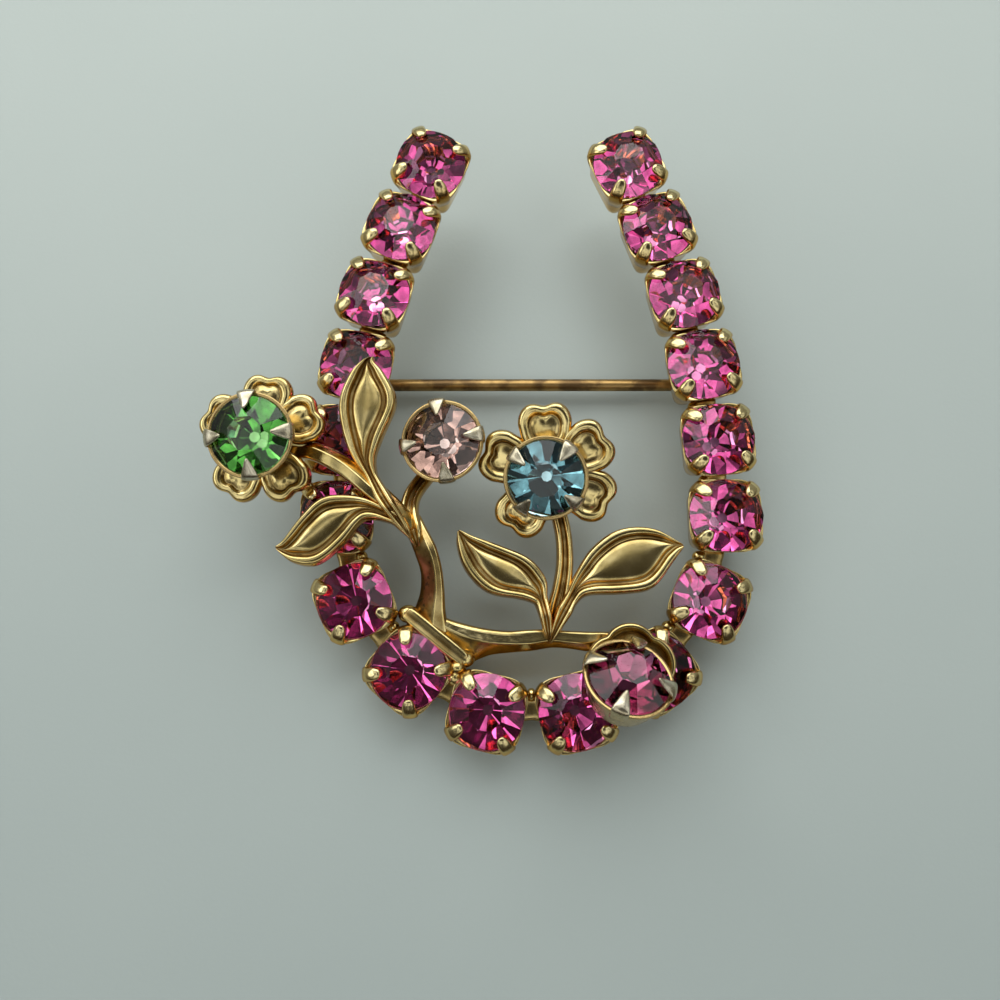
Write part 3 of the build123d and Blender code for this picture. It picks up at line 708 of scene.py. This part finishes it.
# The stems of the rose and the blue flower are cast with the spray and have the same two rims, but no leaf.
# Rows: across, up, level, rise, width.
flower_stems = {
    "rose_stem": [(-0.572, -0.165, "row", 0.78, 0.030), (-0.588, -0.100, "row", 0.92, 0.086),
                  (-0.622, 0.010, "spray", 1.50, 0.100), (-0.615, 0.110, "spray", 1.15, 0.096),
                  (-0.560, 0.210, "spray", 0.85, 0.094), (-0.470, 0.330, "spray", 0.62, 0.100)],
    "blue_stem": [(0.100, -0.600, "spray", 1.00, 0.060), (0.128, -0.480, "spray", 1.08, 0.105),
                  (0.158, -0.360, "spray", 1.06, 0.100), (0.176, -0.220, "spray", 0.98, 0.092),
                  (0.166, -0.050, "spray", 0.84, 0.090), (0.110, 0.160, "spray", 0.75, 0.092)],
}
for name, rows in flower_stems.items():
    piece(name, [ribbon(stem_sections(rows))], gold)

# Trunk, arm and green flower's stem are bars with a crest, one side worn flat, the other falling away. Rows
# have both feet's places as shares of the horseshoe's radius, the level and share of the crest's height, the
# crest's share across, how far each foot lies below it in millimetres, how worn the flat is, and how brown
# the falling side is painted as painted shade; the flat takes part of that brown as a stain.
bars = {
    "trunk": [(-0.410, -0.600, -0.670, -0.585, "spray", 1.15, 0.34, 0.7, 1.5, 0, 1.0),
              (-0.432, -0.490, -0.612, -0.490, "spray", 1.32, 0.32, 0.6, 1.5, 0, 1.0),
              (-0.438, -0.380, -0.572, -0.392, "spray", 1.48, 0.30, 0.5, 1.35, 0, 1.0),
              (-0.450, -0.270, -0.566, -0.291, "spray", 1.64, 0.30, 0.5, 1.3, 0, 1.0),
              (-0.478, -0.165, -0.590, -0.205, "row", 0.99, 0.30, 0.5, 1.1, 0, 1.0),
              (-0.525, -0.075, -0.625, -0.115, "row", 0.92, 0.34, 0.6, 0.7, 0, 1.0),
              (-0.570, 0.010, -0.660, -0.020, "row", 0.80, 0.50, 0.6, 0.6, 0, 1.0)],
    "green_stem": [(-0.640, -0.105, -0.560, -0.060, "row", 1.02, 0.40, 0.8, 0.8, 0, 0),
                   (-0.715, -0.010, -0.640, 0.045, "row", 1.14, 0.42, 0.8, 0.8, 0, 0),
                   (-0.830, 0.080, -0.770, 0.165, "row", 1.24, 0.50, 0.8, 0.8, 0, 0),
                   (-0.975, 0.195, -0.940, 0.295, "row", 1.24, 0.58, 0.8, 0.8, 0, 0),
                   (-1.105, 0.265, -1.090, 0.368, "row", 1.15, 0.60, 0.8, 0.8, 0, 0),
                   (-1.200, 0.290, -1.180, 0.392, "row", 0.98, 0.55, 0.8, 0.8, 0, 0),
                   (-1.335, 0.325, -1.325, 0.425, "row", 0.88, 0.50, 0.8, 0.8, 0, 0)],
    "arm": [(-0.560, -0.470, -0.420, -0.700, "spray", 1.12, 0.20, 0.7, 1.0, 0, 0.2),
            (-0.470, -0.500, -0.330, -0.752, "spray", 1.18, 0.24, 0.7, 1.1, 0.6, 0.2),
            (-0.374, -0.534, -0.268, -0.728, "spray", 1.20, 0.38, 0.7, 1.1, 1, 0.2),
            (-0.248, -0.565, -0.200, -0.704, "spray", 1.17, 0.52, 0.6, 1.0, 1, 0.2),
            (-0.122, -0.580, -0.092, -0.692, "spray", 1.14, 0.60, 0.6, 0.8, 0.7, 0.2),
            (-0.018, -0.574, 0.003, -0.684, "spray", 1.12, 0.64, 0.6, 0.7, 0.2, 0.2),
            (0.092, -0.572, 0.100, -0.668, "spray", 1.10, 0.60, 0.6, 0.6, 0, 0.2),
            (0.190, -0.580, 0.190, -0.672, "spray", 1.12, 0.62, 0.6, 0.5, 0, 0.2),
            (0.290, -0.584, 0.290, -0.686, "spray", 1.12, 0.60, 0.6, 0.5, 0, 0.2),
            (0.400, -0.586, 0.395, -0.684, "spray", 1.05, 0.50, 0.6, 0.6, 0, 0.2),
            (0.545, -0.605, 0.530, -0.710, "spray", 0.80, 0.50, 0.6, 0.6, 0, 0.2)],
}
# Across a bar: share of the way over that part, and its height, in shares of the foot's depth on the two
# sides and in millimetres on the flat
near_side = ((0.0, -0.75), (0.015, -0.40), (0.06, -0.10), (0.12, -0.03))
worn_flat = ((0.35, -0.02), (0.70, 0.0), (0.92, 0.02))
bar_crest = 0.02
falling_side = ((0.10, -0.05), (0.45, -0.32), (0.80, -0.62), (0.95, -0.80), (1.0, -1.0))
bar_back = (0.97, 0.6, 0.3, 0.04)
bar_back_t = 0.25


def bar(rows, steps=6):
    """Skin of a bar with a crest"""
    path = curve_through([(lx, ly, rx, ry, rise * levels[level], *more)
                          for lx, ly, rx, ry, level, rise, *more in rows], steps)
    rings = []
    for lx, ly, rx, ry, z, crest, near_fall, far_fall, pale, side_shade_and_flat_stain in path:
        near, far = Vector((lx * shoe_r, ly * shoe_r, z)), Vector((rx * shoe_r, ry * shoe_r, z))
        section = [(share, high * near_fall, 0, 0) for share, high in near_side]
        section += [(share * crest, high, 0.7 * side_shade_and_flat_stain, pale) for share, high in worn_flat]
        section.append((crest + bar_crest * (1 - crest), bar_crest * far_fall, 0, 0))
        # Painted shade: the falling side is painted brown, as a side turned away from the light.
        section += [(crest + share * (1 - crest), high * far_fall, side_shade_and_flat_stain, 0)
                    for share, high in falling_side]
        section += [(share, -max(near_fall, far_fall) - bar_back_t, 0, 0) for share in bar_back]
        rings.append([(*(near.lerp(far, share) + Vector((0, 0, high))), *marks)
                      for share, high, *marks in section])
    return sweep(rings)


for name, rows in bars.items():
    piece(name, [bar(rows)], gold)

# Small discs, cast with the stems, carry the flowers. Each row has the place at the top of a disc as shares
# of the horseshoe's radius, how far and which way it leans in degrees, the directions of the petals and of
# the first claw, and how far the petals are spread.
flowers = {
    "green": {"across": -1.361, "up": 0.377, "level": "row", "rise": 0.95, "lean": 6.5, "towards": -111.0,
              "petals": (84.0, 27.0, -58.0, -122.0, 152.0), "spread": 0.91, "prongs": 4.0},
    "rose": {"across": -0.432, "up": 0.377, "level": "spray", "rise": 0.84, "lean": 7.0, "towards": 200.0,
             "petals": (), "spread": 1.0, "prongs": 8.0},
    "blue": {"across": 0.093, "up": 0.236, "level": "spray", "rise": 1.04, "lean": 20.0, "towards": -110.0,
             "petals": (93.0, 33.0, -27.0, -124.0, 160.0), "spread": 1.0, "prongs": 52.0},
    "pink": {"across": 0.404, "up": -0.899, "level": "row", "rise": 1.28, "lean": 38.0, "towards": 76.0,
             "petals": (), "spread": 1.0, "prongs": -22.0},
}
disc_r = 1.25
disc_t = 0.85


def disc_frame(row):
    """Place at the top of the disc that carries a flower"""
    spot = (row["across"] * shoe_r, row["up"] * shoe_r, row["rise"] * levels[row["level"]])
    towards = Matrix.Rotation(math.radians(row["towards"]), 4, "Z")
    lean = Matrix.Rotation(math.radians(row["lean"]), 4, "Y")
    return Matrix.Translation(spot) @ towards @ lean @ towards.inverted()


def turned(profile, sides):
    """Skin of a turned form: rings of (radius, height and, if any, hollow) from one pole to the other"""
    angles = [2 * math.pi * k / sides for k in range(sides)]
    return sweep([[(radius * math.cos(angle), radius * math.sin(angle), z, *(hollow or [0]))
                   for angle in angles] for radius, z, *hollow in profile])


for name, row in flowers.items():
    disc = turned([(0.4, -disc_t), (disc_r - 0.15, -disc_t), (disc_r, -disc_t + 0.12), (disc_r, -0.1),
                   (disc_r - 0.1, 0), (0.4, 0)], 24)
    piece(name + "_flower_disc", [disc], gold, disc_frame(row))

# The foot pad is a short cast bar along the eighth setting on the left. It joins the spray to the row, and
# lumps of solder lie at its ends.
pad_setting = 8
pad_w = 1.25
pad_len = 5.4
pad_h = 1.5
pad_lap = 0.1
# Along the pad: share of half its length, share of its width
pad_lengthways = (
    (-1.0, 0.5), (-0.97, 0.8), (-0.88, 0.97), (-0.4, 1.0), (0.0, 0.96), (0.4, 1.0), (0.88, 0.97),
    (0.97, 0.8), (1.0, 0.5),
)
# Across the pad: share of half its width, share of its height, how brown it is painted with dirt and painted
# shade
pad_section = (
    (-1, -0.5, 0.6), (-1, 0.2, 0.4), (-0.92, 0.38, 0), (-0.72, 0.47, 0), (-0.1, 0.40, 0.9),
    (0.35, 0.44, 0.7), (0.62, 0.50, 0), (0.86, 0.40, 0), (1, 0.15, 0.4), (1, -0.5, 0.6), (0.4, -0.5, 0),
    (-0.4, -0.5, 0),
)
# Lumps of solder: share of the length, across, up, radii
pad_lumps = (
    (-0.46, 0, -0.1, (0.8, 0.7, 0.55)), (0.46, 0, 0.0, (0.9, 0.7, 0.6)), (0.47, 0.7, 0.1, (0.7, 0.6, 0.7)),
    (0.52, 1.3, 0.0, (0.6, 0.7, 0.6)),
)
pad_spot, pad_out = row_frames()[pad_setting - 1][1:]
pad_across = Matrix.Rotation(pad_out, 3, "Z") @ Vector((1, 0, 0))
pad_along = Matrix.Rotation(pad_out, 3, "Z") @ Vector((0, 1, 0))
pad_at = pad_across * (pad_spot.length - cup_side / 2 - pad_w / 2 + pad_lap) + Vector((0, 0, spray_z))
pad_rings = []
for share, wide in pad_lengthways:
    middle = pad_at + pad_along * (share * pad_len / 2)
    tall = pad_h * (0.6 + 0.4 * wide)
    ring = []
    for across, high, dirt_and_shade in pad_section:
        point = middle + pad_across * (across * wide * pad_w / 2) + Vector((0, 0, high * tall))
        ring.append((*point, dirt_and_shade))
    pad_rings.append(ring)
lumps = [bead(pad_at + pad_along * (share * pad_len) + pad_across * across + Vector((0, 0, up)), radii)
         for share, across, up, radii in pad_lumps]
piece("foot_pad", [sweep(pad_rings), *lumps], gold)

# The bud cup under the leaning pink stone is a shallow cast dish with five lobes. It stands on a riser from
# the arm, and a short post in it carries the stone's disc.
bud_at = (0.478, -0.765)
riser_at = (0.435, -0.615)
bud_r = 3.1
bud_t = 0.45
bud_rim_h = 0.35
post_r = 0.75
post_lap = 0.3


def lobed(scale, z, hollow=0.0, lobes=5, sides=60):
    """A ring with soft lobes"""
    ring = []
    for k in range(sides):
        angle = 2 * math.pi * k / sides
        wave = abs(math.cos(lobes / 2 * (angle - math.pi / 2)))
        radius = bud_r * scale * (0.86 + 0.14 * wave ** 0.7)
        ring.append((radius * math.cos(angle), radius * math.sin(angle), z, hollow))
    return ring


bud_low = over_z - bud_t
rim_top = bud_t + bud_rim_h
dish = sweep([
    lobed(0.2, 0), lobed(0.9, 0), lobed(1.0, 0.1), lobed(1.0, rim_top - 0.15), lobed(0.97, rim_top),
    lobed(0.90, rim_top), lobed(0.83, rim_top - 0.12, 0.3), lobed(0.80, bud_t + 0.03, 1.0),
    lobed(0.70, bud_t, 0.8), lobed(0.45, bud_t + 0.08, 0.2), lobed(0.15, bud_t + 0.1),
])
bud_place = Matrix.Translation((bud_at[0] * shoe_r, bud_at[1] * shoe_r, bud_low))
piece("bud_cup", [dish], gold, bud_place)
under_disc = disc_frame(flowers["pink"]) @ Vector((0, 0, -disc_t))
riser_low = spray_z - pad_h / 3
posts = []
for x, y, low, high in ((riser_at[0] * shoe_r, riser_at[1] * shoe_r, riser_low, bud_low + bud_t / 2),
                        (under_disc.x, under_disc.y, bud_low, under_disc.z + post_lap)):
    post = [(0.3, low), (post_r, low), (post_r, (low + high) / 2), (post_r, high), (0.3, high)]
    posts.append(placed(turned(post, 16), Matrix.Translation((x, y, 0))))
piece("bud_posts", posts, gold)

# Rosettes under the green and the blue stone: five cast petals, each with a thick rolled rim in two lobes,
# a hollow inside it and a small raised heart.
rosette_r = 4.55
rosette_middle_r = 2.0
rosette_plate_t = 0.45
petal_w = 3.7
part_gap = 0.05
# A petal from its underside over its rolled rim to its heart: share of its outline, height, depth of hollow
petal_rings = [
    (0.55, 0.0, 0.0), (0.94, 0.0, 0.0), (1.0, 0.08, 0.0), (1.0, 0.46, 0.0), (0.98, 0.70, 0.0),
    (0.91, 0.86, 0.0), (0.80, 0.90, 0.0), (0.68, 0.87, 0.0), (0.61, 0.79, 0.3), (0.57, 0.69, 0.7),
    (0.53, 0.67, 0.7), (0.47, 0.73, 0.3), (0.34, 0.81, 0.0), (0.14, 0.83, 0.0),
]


def petal_ring(spread, share, z, hollow, sides=36):
    """A ring of a petal that points along X, as a share of its outline"""
    wide = petal_w * spread
    lobe = 0.29 * wide
    middle = rosette_r * spread - 1.25 * lobe
    ring = []
    for k in range(sides):
        angle = math.remainder(2 * math.pi * k / sides, 2 * math.pi)
        reach = 0.50
        if abs(k / sides - 0.5) > 0.25:
            notch = math.exp(-angle ** 2 / 0.10)
            reach = 0.53 - 0.10 * notch + 0.05 * math.sin(2 * angle) ** 2
        reach = reach * wide * share
        ring.append((middle + reach * math.cos(angle), reach * math.sin(angle), z, hollow))
    return ring


for name in ("green", "blue"):
    row = flowers[name]
    skins = []
    for angle in row["petals"]:
        lift = chance.uniform(-0.03, 0.03)
        petal = sweep([petal_ring(row["spread"], share, max(z + lift, 0), hollow)
                       for share, z, hollow in petal_rings])
        skins.append(placed(petal, Matrix.Rotation(math.radians(angle), 4, "Z")))
    skins.append(turned([
        (0.3, 0), (rosette_middle_r - 0.1, 0), (rosette_middle_r, 0.06),
        (rosette_middle_r, rosette_plate_t - 0.06), (rosette_middle_r - 0.1, rosette_plate_t),
        (0.3, rosette_plate_t)], 32))
    place = disc_frame(row) @ Matrix.Translation((0, 0, part_gap))
    petals = piece(name + "_rosette", skins, gold, place)
    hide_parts(name + "_flower_petals")

# The four flower stones sit in round cups of paler, silver-washed sheet, its wash worn to brown brass on the
# thin upright rim. Four claws are cut from it and folded over the stone to a blunt point. A peg below goes
# through the rosette and the disc.
silver = Finish("silver", Metallic=1.0)
silver_pale = silver.node("Attribute", {"attribute_name": "pale"}, {}, "Fac")
silver_patches = silver.cloud(0.9, 3.0)
silver_wash = silver.mix(silver_patches.between(0.35, 0.65), (0.60, 0.56, 0.43, 1), (0.38, 0.34, 0.23, 1))
silver.set(Base_Color=silver.mix(silver_pale, (0.50, 0.36, 0.15, 1), silver_wash))
silver.set(Roughness=0.18 + 0.16 * silver_patches)
silver.relief(silver.cloud(0.5, 2.0), 0.015)
round_rim_dia = 5.95
round_base_dia = 4.3
round_wall = 0.26
round_floor = 0.35
seat_gap = 0.05
round_depth = pavilion_h + girdle_t / 2 + seat_gap + round_floor
petal_stack = rosette_plate_t + part_gap
peg_r = 0.45
peg_l = 0.5
# A folded claw: out from the middle, up, width, thickness
fold_line = [
    (2.66, -1.10, 1.00, 0.10), (2.80, -0.45, 1.10, 0.18), (2.95, 0.05, 1.20, 0.22), (2.94, 0.36, 1.20, 0.22),
    (2.72, 0.52, 1.12, 0.22), (2.38, 0.62, 0.86, 0.22), (2.02, 0.78, 0.54, 0.20), (1.74, 0.93, 0.26, 0.16),
    (1.66, 0.97, 0.12, 0.08),
]
# Across it, in shares of half its width and of its thickness
fold_section = (
    (-1, -0.5), (-1, 0.2), (-0.75, 0.45), (0, 0.75), (0.75, 0.45), (1, 0.2), (1, -0.5), (0, -0.35),
)
fold_pale_from = -0.4


def fold(line):
    """Claw of folded sheet with a soft crease along its middle, its wash worn off low down"""
    middles = [Vector((out, 0, up)) for out, up, width, thick in line]
    rings = []
    for k, (out, up, width, thick) in enumerate(line):
        outer = Vector((0, 1, 0)).cross(ahead_at(middles, k))
        ring = []
        for across, high in fold_section:
            point = middles[k] + Vector((0, across * width / 2, 0)) + outer * (high * thick)
            ring.append((*point, 0, clamp(up - fold_pale_from)))
        rings.append(ring)
    return sweep(rings)


def stone_frame(row):
    """Place at the middle of a flower stone's girdle"""
    stack = petal_stack if row["petals"] else 0
    return disc_frame(row) @ Matrix.Translation((0, 0, part_gap + stack + round_depth))


for name, row in flowers.items():
    rim = round_rim_dia / 2
    base = round_base_dia / 2
    low = -round_depth
    inner_rim = rim - round_wall
    seat = stone_dia / 2
    peg_low = low - (petal_stack if row["petals"] else 0) - part_gap - peg_l
    cup = turned([
        (0.15, peg_low), (peg_r - 0.05, peg_low), (peg_r, peg_low + 0.06), (peg_r, low - 0.02),
        (peg_r + 0.03, low), (base - 0.1, low), (base, low + 0.1), ((rim + base) / 2, low / 2),
        (rim - 0.04, -0.10), (rim - 0.02, 0.02), (rim - 0.08, 0.07), (seat + 0.08, 0.06), (seat + 0.02, 0.0),
        (seat - 0.08, -0.25), (inner_rim - 0.1, -0.35, 0.6), (base - round_wall, low + round_floor, 1.0),
        (0.3, low + round_floor, 1.0)], 48)
    skins = [cup]
    for k in range(4):
        line = [(out, up, wide * chance.uniform(0.95, 1.08), thick) for out, up, wide, thick in fold_line]
        skins.append(placed(fold(line), Matrix.Rotation(math.radians(row["prongs"] + 90 * k), 4, "Z")))
    setting = piece(name + "_round_setting", skins, silver, stone_frame(row))
    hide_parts(name + "_setting")

# The flower stones have the same cut as those of the row, and are foiled like them. One each is of green,
# dusty rose and blue glass, and one is a deeper pink.
flower_glass = {
    "green": glass_and_foil("green", (0.95, 1.0, 0.88, 1), (0.36, 0.72, 0.30, 1)),
    "rose": glass_and_foil("rose", (0.99, 0.96, 0.95, 1), (0.90, 0.72, 0.66, 1)),
    "blue": glass_and_foil("blue", (0.93, 0.98, 1.0, 1), (0.46, 0.67, 0.71, 1)),
    "pink": glass_and_foil("deep_pink", (1.0, 0.92, 0.95, 1), (0.42, 0.10, 0.20, 1)),
}
for name, row in flowers.items():
    seat = stone_frame(row) @ Matrix.Rotation(math.radians(row["prongs"]), 4, "Z")
    set_stone(name + "_flower_stone", name + "_stone", flower_glass[name], name + "_glass", seat)

# The pin stem is hard-drawn brass wire gone brown, turning on a rivet between two ears on the back of a
# cup. Its point lies in a catch bent from strip, soldered on the back of the cup opposite.
brown = Finish("brown_brass", Metallic=1.0)
brown_patches = brown.cloud(1.8, 4.0)
brown_dark = brown_patches.between(0.40, 0.62)
brown.set(Base_Color=brown.mix(brown_dark, (0.42, 0.27, 0.10, 1), (0.16, 0.10, 0.045, 1)))
brown.set(Roughness=0.26 + 0.25 * brown_patches)
brown.relief(brown.cloud(0.3, 2.0), 0.01)
for name in ("pin_stem", "joint_rivet"):
    frame["nodes"][name].data.materials.clear()
    frame["nodes"][name].data.materials.append(brown.material)
pin_r = 0.47
ear_t = 0.4
ear_w = 1.9
ear_h = 1.75
ear_at = 0.53
ear_bevel = 0.06
plate_side = 3.5
plate_t = 0.45
plate_corner = 0.4 * ear_t
plate_lap = 0.04
catch_gap = 0.2
catch_w = 1.6
catch_t = 0.45
hinge_place = Matrix.Translation(hinge_at) @ Matrix.Rotation(hinge_skew, 4, "X")
# Across the catch's strip, in shares of half its width and of half its thickness
strip_section = (
    (-1, -0.6), (-1, 0.6), (-0.85, 1), (0, 1), (0.85, 1), (1, 0.6), (1, -0.6), (0.85, -1), (0, -1),
    (-0.85, -1),
)


def strip(line, wide, thick):
    """Flat strip bent along a line of points, its width along X"""
    width = Vector((wide / 2, 0, 0))
    rings = []
    for k, point in enumerate(line):
        outer = ahead_at(line, k).cross(width).normalized() * thick / 2
        rings.append([tuple(point + width * across + outer * high) for across, high in strip_section])
    return sweep(rings)


ears = []
for side in (-1, 1):
    rings = []
    for across in (-1, -0.8, 0.8, 1):
        half = ear_w / 2 - (ear_bevel if abs(across) == 1 else 0)
        angles = [math.pi * (1 + k / 20) for k in range(21)]
        outline = [(half * math.cos(angle), half * math.sin(angle)) for angle in angles]
        outline += [(half, 1.0), (half, ear_h), (-half, ear_h), (-half, 1.0)]
        y = side * (ear_at + ear_t / 2) + across * ear_t / 2
        rings.append([tuple(hinge_place @ Vector((x, y, z))) for x, z in outline])
    ears.append(sweep(rings))
half = plate_side / 2
plate = sweep([
    rounded_square(half / 2, plate_corner / 2, -plate_t),
    rounded_square(half - ear_bevel, plate_corner, -plate_t),
    rounded_square(half, plate_corner, -plate_t + ear_bevel),
    rounded_square(half, plate_corner, plate_lap),
    rounded_square(half / 2, plate_corner / 2, plate_lap),
])
plate = placed(plate, Matrix.Translation((hinge_at.x, hinge_at.y, 0)))
piece("hinge_ears", [*ears, plate], gold, rounds=0)
side_y = -pin_r - catch_gap - catch_t / 2
ear_low = hinge_at.z - (ear_at + ear_t) * math.sin(hinge_skew) - ear_w / 2 * math.cos(hinge_skew)
back_z = ear_low + catch_t / 2
catch_line = [Vector((0, y, z)) for y, z in (
    (1.4, -0.125), (0.4, -0.125), (side_y + 0.5, -0.125), (side_y + 0.2, -0.17), (side_y + 0.04, -0.36),
    (side_y, -0.62), (side_y, -1.3), (side_y, back_z + 0.5), (side_y + 0.05, back_z + 0.22),
    (side_y + 0.2, back_z + 0.04), (side_y + 0.45, back_z), (-0.35, back_z), (-0.2, back_z))]
catch_place = Matrix.Translation((-hinge_at.x, hinge_at.y, 0))
piece("catch", [strip(catch_line, catch_w, catch_t)], gold, catch_place)
